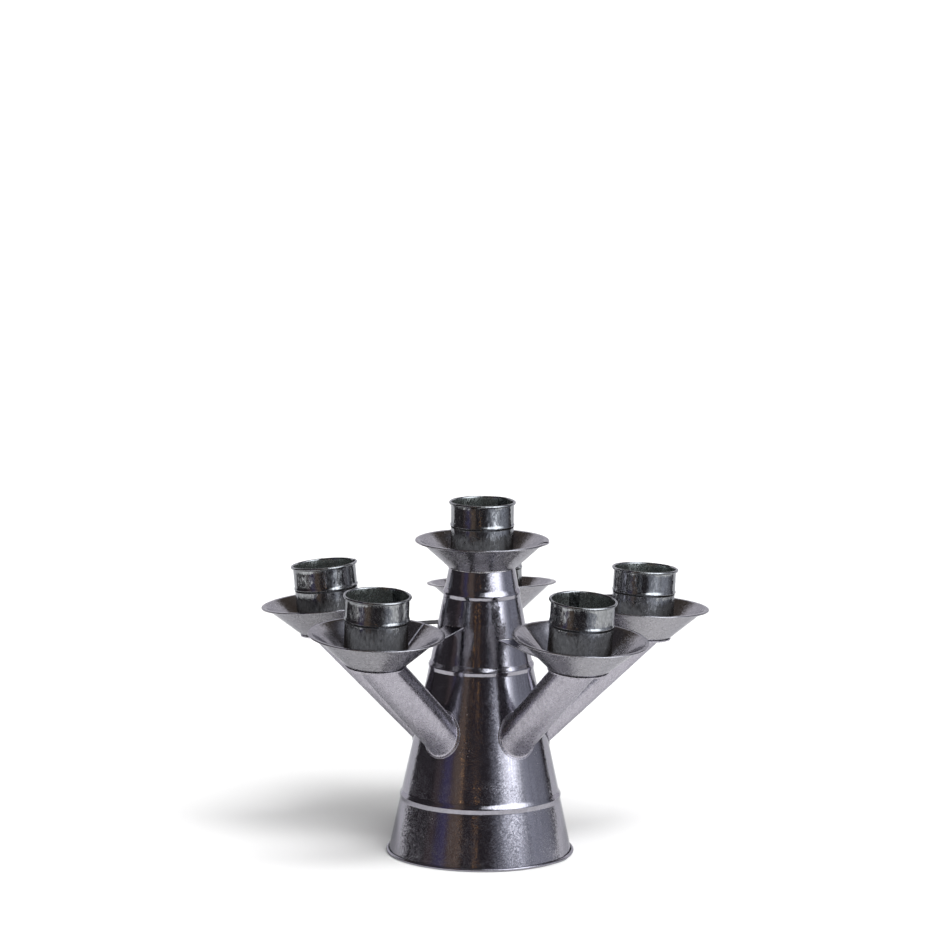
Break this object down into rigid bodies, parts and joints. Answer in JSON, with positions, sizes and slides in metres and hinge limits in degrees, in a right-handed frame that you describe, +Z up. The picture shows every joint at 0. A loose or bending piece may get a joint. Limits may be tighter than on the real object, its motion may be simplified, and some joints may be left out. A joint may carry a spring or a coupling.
{
  "type": "candelabra",
  "caption": "Free-standing galvanised steel candelabra: beaded cone body, tubular arms soldered round it, and a candle cup in a conical drip pan on each arm and on top.",
  "frame": {"origin": "middle of the object's outline box, on the surface it stands on; the cone's axis is 2.2 mm towards -X and 10.3 mm towards -Y of it", "axes": "+Z up along the cone's axis, -Y the front that faces the viewer, +X to the viewer's right"},
  "size_m": [0.3228, 0.3118, 0.2539],
  "materials": {
    "body_sheet": "galvanised sheet, glossy, dark, with a fine spangle",
    "cup_sheet": "galvanised sheet, glossy, with a strong fine spangle",
    "pan_sheet": "galvanised sheet, semi-matte, dull olive grey inside",
    "arm_sheet": "galvanised sheet, satin, pale lilac grey mottling",
    "floor_sheet": "galvanised sheet, dull",
    "wire": "plain galvanised wire, dull"
  },
  "bodies": {
    "root": {"body_cone": "body_sheet", "base_rim_wire": "wire", "centre_drip_pan": "pan_sheet", "centre_candle_cup": "cup_sheet", "centre_cup_floor": "floor_sheet", "centre_cup_wire": "wire", "front_left_tube": "arm_sheet", "front_left_brace": "arm_sheet", "front_left_drip_pan": "pan_sheet", "front_left_candle_cup": "cup_sheet", "front_left_cup_floor": "floor_sheet", "front_left_cup_wire": "wire", "front_left_pan_floor": "floor_sheet", "front_right_tube": "arm_sheet", "front_right_brace": "arm_sheet", "front_right_drip_pan": "pan_sheet", "front_right_candle_cup": "cup_sheet", "front_right_cup_floor": "floor_sheet", "front_right_cup_wire": "wire", "front_right_pan_floor": "floor_sheet", "right_back_tube": "arm_sheet", "right_back_brace": "arm_sheet", "right_back_drip_pan": "pan_sheet", "right_back_candle_cup": "cup_sheet", "right_back_cup_floor": "floor_sheet", "right_back_cup_wire": "wire", "right_back_pan_floor": "floor_sheet", "back_tube": "arm_sheet", "back_brace": "arm_sheet", "back_drip_pan": "pan_sheet", "back_candle_cup": "cup_sheet", "back_cup_floor": "floor_sheet", "back_cup_wire": "wire", "back_pan_floor": "floor_sheet", "left_back_tube": "arm_sheet", "left_back_brace": "arm_sheet", "left_back_drip_pan": "pan_sheet", "left_back_candle_cup": "cup_sheet", "left_back_cup_floor": "floor_sheet", "left_back_cup_wire": "wire", "left_back_pan_floor": "floor_sheet"}
  },
  "joints": []
}
